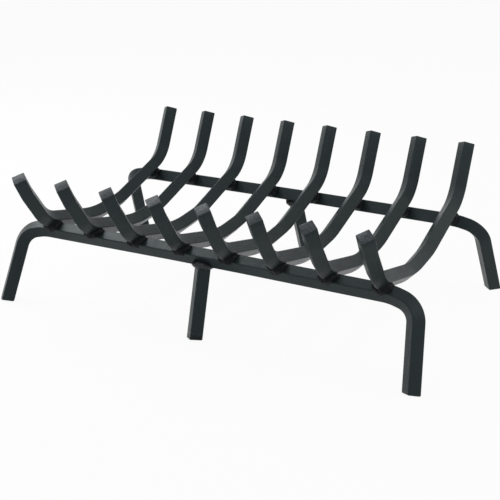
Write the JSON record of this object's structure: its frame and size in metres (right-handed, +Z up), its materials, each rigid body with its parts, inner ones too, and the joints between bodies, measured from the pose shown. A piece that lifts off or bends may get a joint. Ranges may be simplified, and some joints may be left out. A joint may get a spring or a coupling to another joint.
{
  "type": "log grate",
  "caption": "Fireplace log grate welded from square bar set on edge: bent cradle bars across two rails with bent legs and centre legs.",
  "frame": {"origin": "middle of the grate's box, on the floor that the feet stand on", "axes": "+X along the rails, to the right as seen from the front; +Y to the rear, where the tall posts are; +Z up"},
  "size_m": [0.729, 0.467, 0.2468],
  "materials": {
    "bar_paint": "satin charcoal heat paint on steel bar",
    "weld_paint": "satin near-black heat paint on weld beads"
  },
  "bodies": {
    "root": {"front_rail": "bar_paint", "rear_rail": "bar_paint", "front_centre_leg": "bar_paint", "rear_centre_leg": "bar_paint", "grate_bar_1": "bar_paint", "grate_bar_2": "bar_paint", "grate_bar_3": "bar_paint", "grate_bar_4": "bar_paint", "grate_bar_5": "bar_paint", "grate_bar_6": "bar_paint", "grate_bar_7": "bar_paint", "grate_bar_8": "bar_paint", "front_weld_1": "weld_paint", "front_weld_2": "weld_paint", "front_weld_3": "weld_paint", "front_weld_4": "weld_paint", "front_weld_5": "weld_paint", "front_weld_6": "weld_paint", "front_weld_7": "weld_paint", "front_weld_8": "weld_paint", "rear_weld_1": "weld_paint", "rear_weld_2": "weld_paint", "rear_weld_3": "weld_paint", "rear_weld_4": "weld_paint", "rear_weld_5": "weld_paint", "rear_weld_6": "weld_paint", "rear_weld_7": "weld_paint", "rear_weld_8": "weld_paint", "front_leg_weld": "weld_paint", "rear_leg_weld": "weld_paint"}
  },
  "joints": []
}
